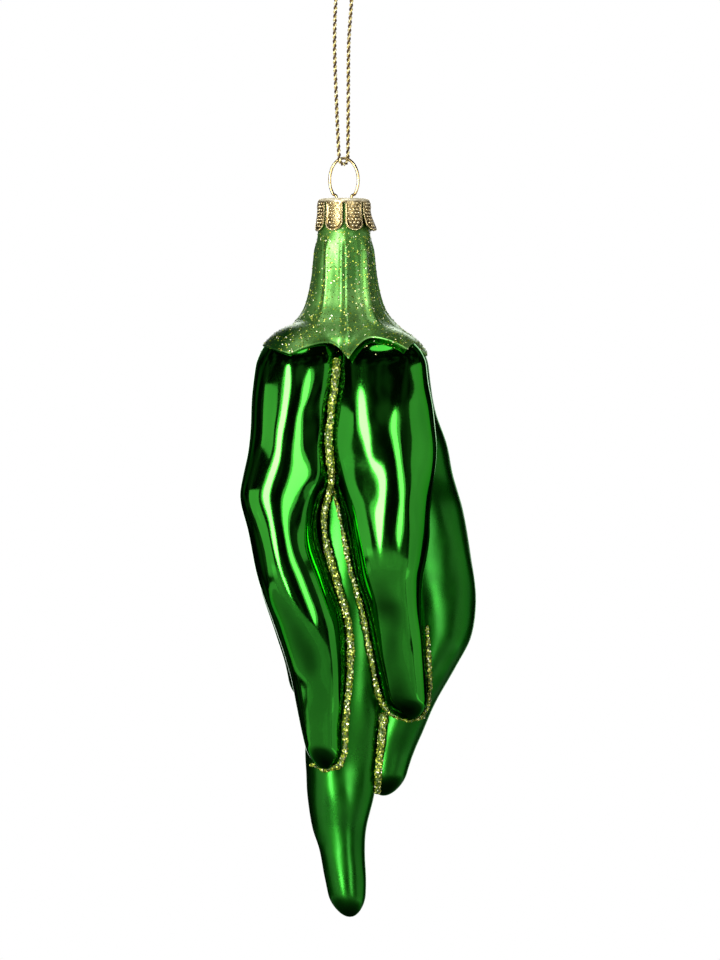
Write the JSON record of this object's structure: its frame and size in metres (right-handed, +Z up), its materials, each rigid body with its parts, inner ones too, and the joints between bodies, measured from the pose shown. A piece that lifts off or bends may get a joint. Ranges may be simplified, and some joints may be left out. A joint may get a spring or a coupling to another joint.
{
  "type": "chili ornament",
  "caption": "Blown-glass hanging ornament shaped as a bunch of green chili peppers, with glitter lines, a petalled metal cap, a spring-wire ring and a cord loop.",
  "frame": {"origin": "hanging point, inside the top of the cord loop", "axes": "+Z up along the hanging ornament, -Y towards the viewer who sees the two gloss peppers, +X to that viewer's right"},
  "size_m": [0.0465, 0.0302, 0.1927],
  "materials": {
    "green_glass": "silvered glass under green lacquer, mirror gloss on the front peppers and satin elsewhere",
    "glitter": "gold glitter in clear glue",
    "cap_metal": "stamped pale gold sheet metal, satin",
    "wire_metal": "bright gold-coloured spring wire",
    "cord": "twisted metallic gold and brown cord"
  },
  "bodies": {
    "cord": {"hanging_cord": "cord", "cord_knot": "cord"},
    "ring": {"hanger_wire": "wire_metal"},
    "cap": {"cap": "cap_metal"},
    "glass": {"glass_body": "green_glass", "glitter_front_left": "glitter", "glitter_front_right": "glitter", "glitter_lower": "glitter", "glitter_back_left": "glitter", "glitter_back_right": "glitter"}
  },
  "joints": [
    {"name": "ring_swing", "type": "hinge", "parent": "cord", "child": "ring", "pos_m": [0, 0, -0.03696], "axis": [1, 0, 0], "range_deg": [-80, 80]},
    {"name": "ring_rock", "type": "hinge", "parent": "ring", "child": "cap", "pos_m": [0, 0, -0.04517], "axis": [1, 0, 0], "range_deg": [-4, 4]},
    {"name": "cap_pull", "type": "slide", "parent": "cap", "child": "glass", "axis": [0, 0, -1], "range_m": [0, 0.024]}
  ]
}
